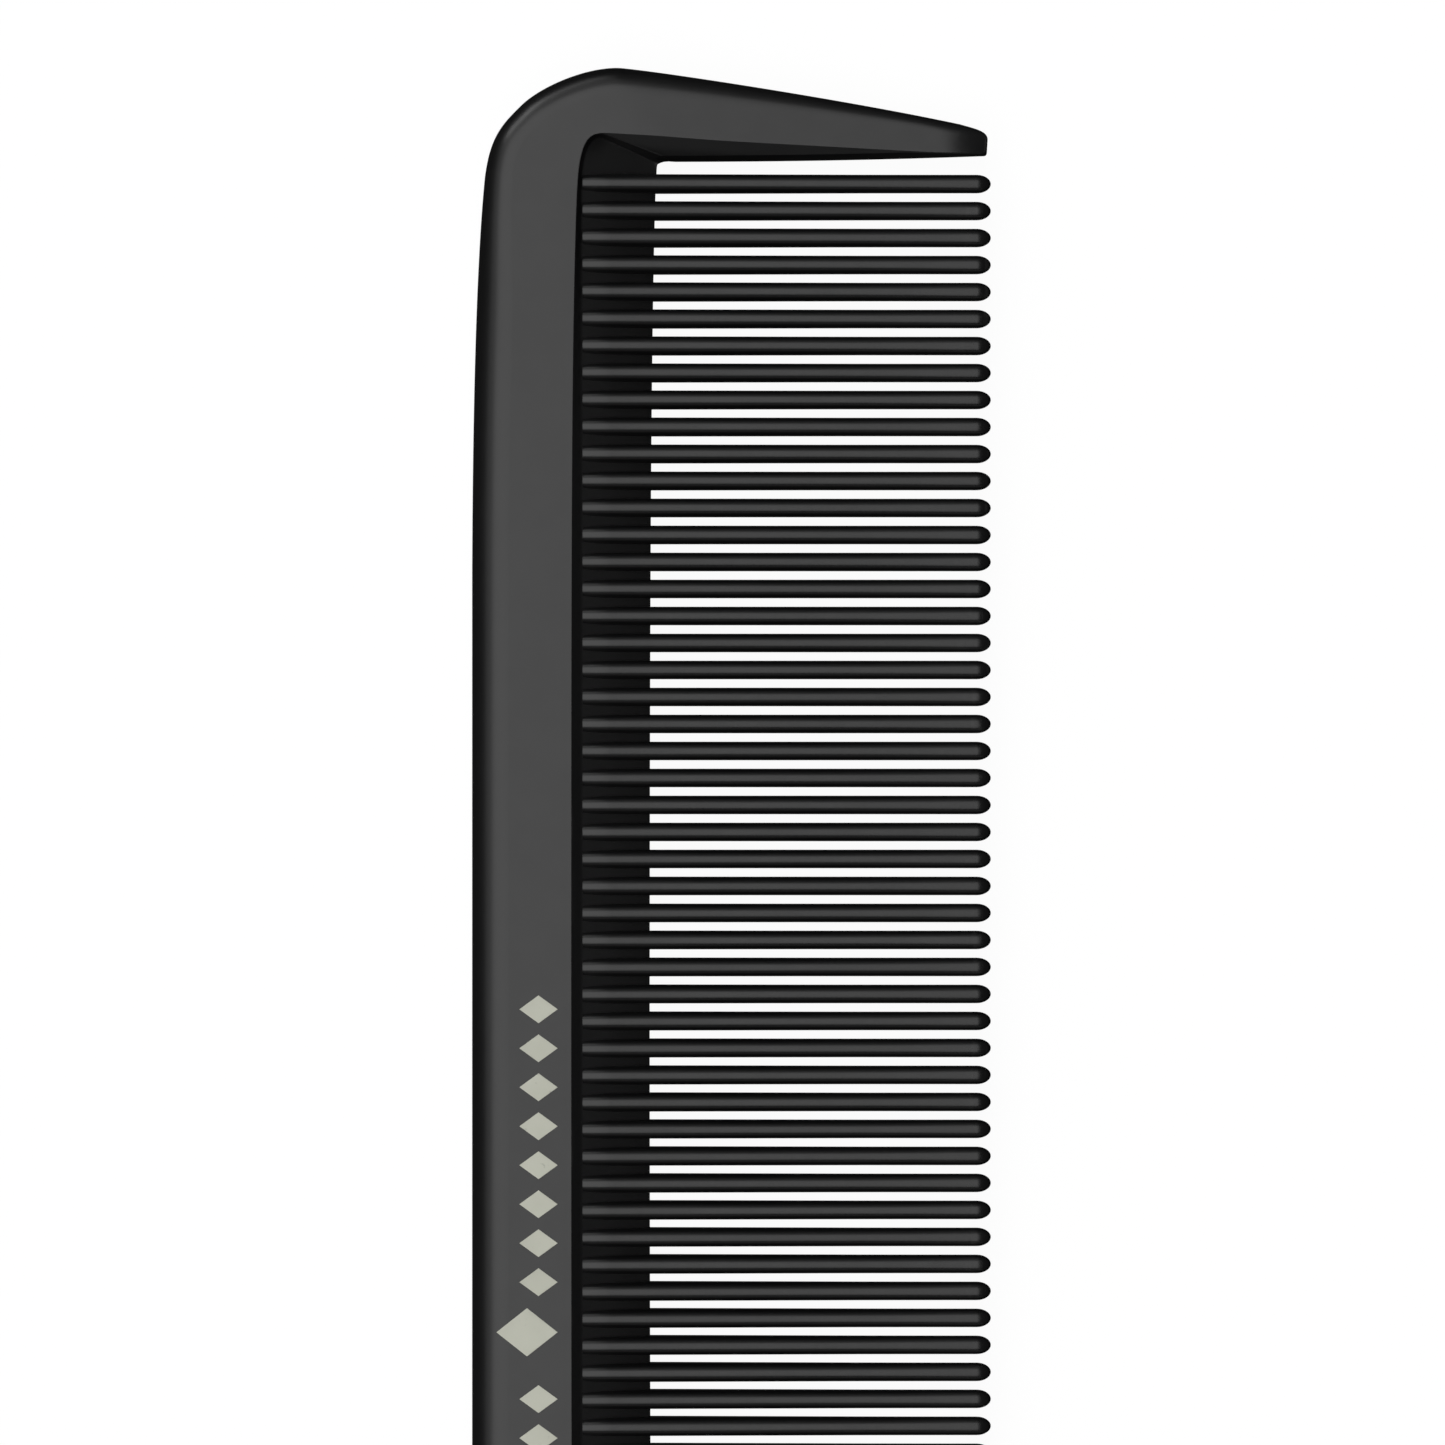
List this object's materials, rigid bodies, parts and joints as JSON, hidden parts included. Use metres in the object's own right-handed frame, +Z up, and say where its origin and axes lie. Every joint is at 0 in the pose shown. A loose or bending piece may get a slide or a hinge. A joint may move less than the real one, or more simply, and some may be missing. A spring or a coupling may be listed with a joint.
{
  "type": "rat tail comb",
  "caption": "Rat tail comb: flat fine-toothed plastic head with a guard tooth at each end of its row and a slim round steel pin tail.",
  "frame": {"origin": "centre of the bounding box in plan, at the level of the flat back face that the comb lies on", "axes": "+Y along the comb towards the free end guard, with the pin tail pointing to -Y; +X across the comb from the spine to the tooth tips; +Z up from the back face to the printed face"},
  "size_m": [0.028, 0.222, 0.0041],
  "materials": {
    "comb_plastic": "satin black moulded plastic, heat resistant grade",
    "pin_steel": "centreless-ground stainless steel, rounded tip",
    "mark_ink": "warm grey pad-printing ink"
  },
  "bodies": {
    "root": {"spine": "comb_plastic", "root_web": "comb_plastic", "fine_teeth": "comb_plastic", "end_guard": "comb_plastic", "heel_guard": "comb_plastic", "tail_tang": "comb_plastic", "tail_pin": "pin_steel", "printed_mark": "mark_ink"}
  },
  "joints": []
}
